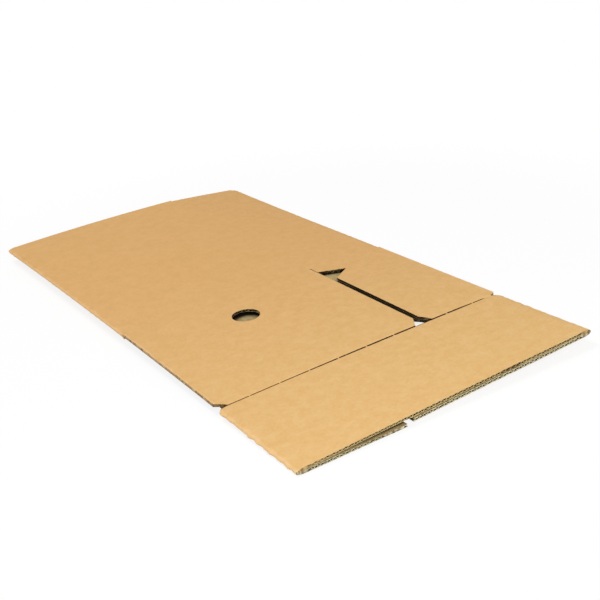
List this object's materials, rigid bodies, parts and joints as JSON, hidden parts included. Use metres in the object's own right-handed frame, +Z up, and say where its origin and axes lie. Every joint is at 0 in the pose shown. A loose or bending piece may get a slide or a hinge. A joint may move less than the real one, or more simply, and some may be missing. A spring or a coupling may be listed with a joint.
{
  "type": "flattened cardboard box",
  "caption": "Corrugated box knocked down flat: a folded, glued tube of board with open flutes, slotted flaps, a finger hole and a strip joined along a perforated line",
  "frame": {"origin": "middle of the underside of the part's box", "axes": "+X across the panels, +Y from the front strip along the flutes to the far end, +Z up"},
  "size_m": [0.34, 0.708, 0.0125],
  "materials": {
    "kraft_board": "uncoated brown kraft liner, matt, faintly mottled, with darker fluted paper showing at the cut edges"
  },
  "bodies": {
    "root": {"folded_box": "kraft_board"}
  },
  "joints": []
}
